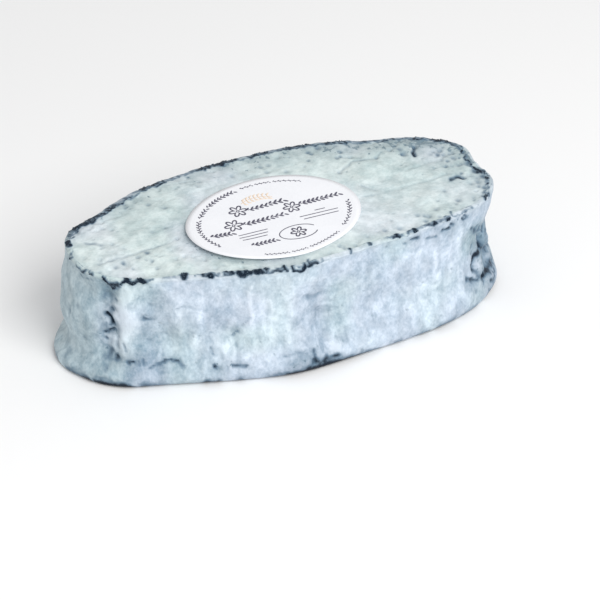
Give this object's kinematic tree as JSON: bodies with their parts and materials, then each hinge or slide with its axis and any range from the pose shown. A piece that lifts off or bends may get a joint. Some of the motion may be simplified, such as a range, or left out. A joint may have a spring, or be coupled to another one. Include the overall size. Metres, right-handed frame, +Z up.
{
  "type": "goat cheese",
  "caption": "Long oval soft goat cheese with a wrinkled ash and mould rind, a flat top and base, and an oval paper label lying on top.",
  "frame": {"origin": "middle of the bounding box in plan, on the surface that the cheese stands on", "axes": "+Z up; +X along the length of the cheese, towards its blunter end; -Y towards the side whose top edge is crusted darkest"},
  "size_m": [0.1182, 0.0598, 0.0323],
  "materials": {
    "rind": "matt bluish-grey mould over ash, wrinkled, with a dark ragged crust along the top edge",
    "label_paper": null
  },
  "bodies": {
    "root": {"cheese": "rind", "label": "label_paper"}
  },
  "joints": []
}
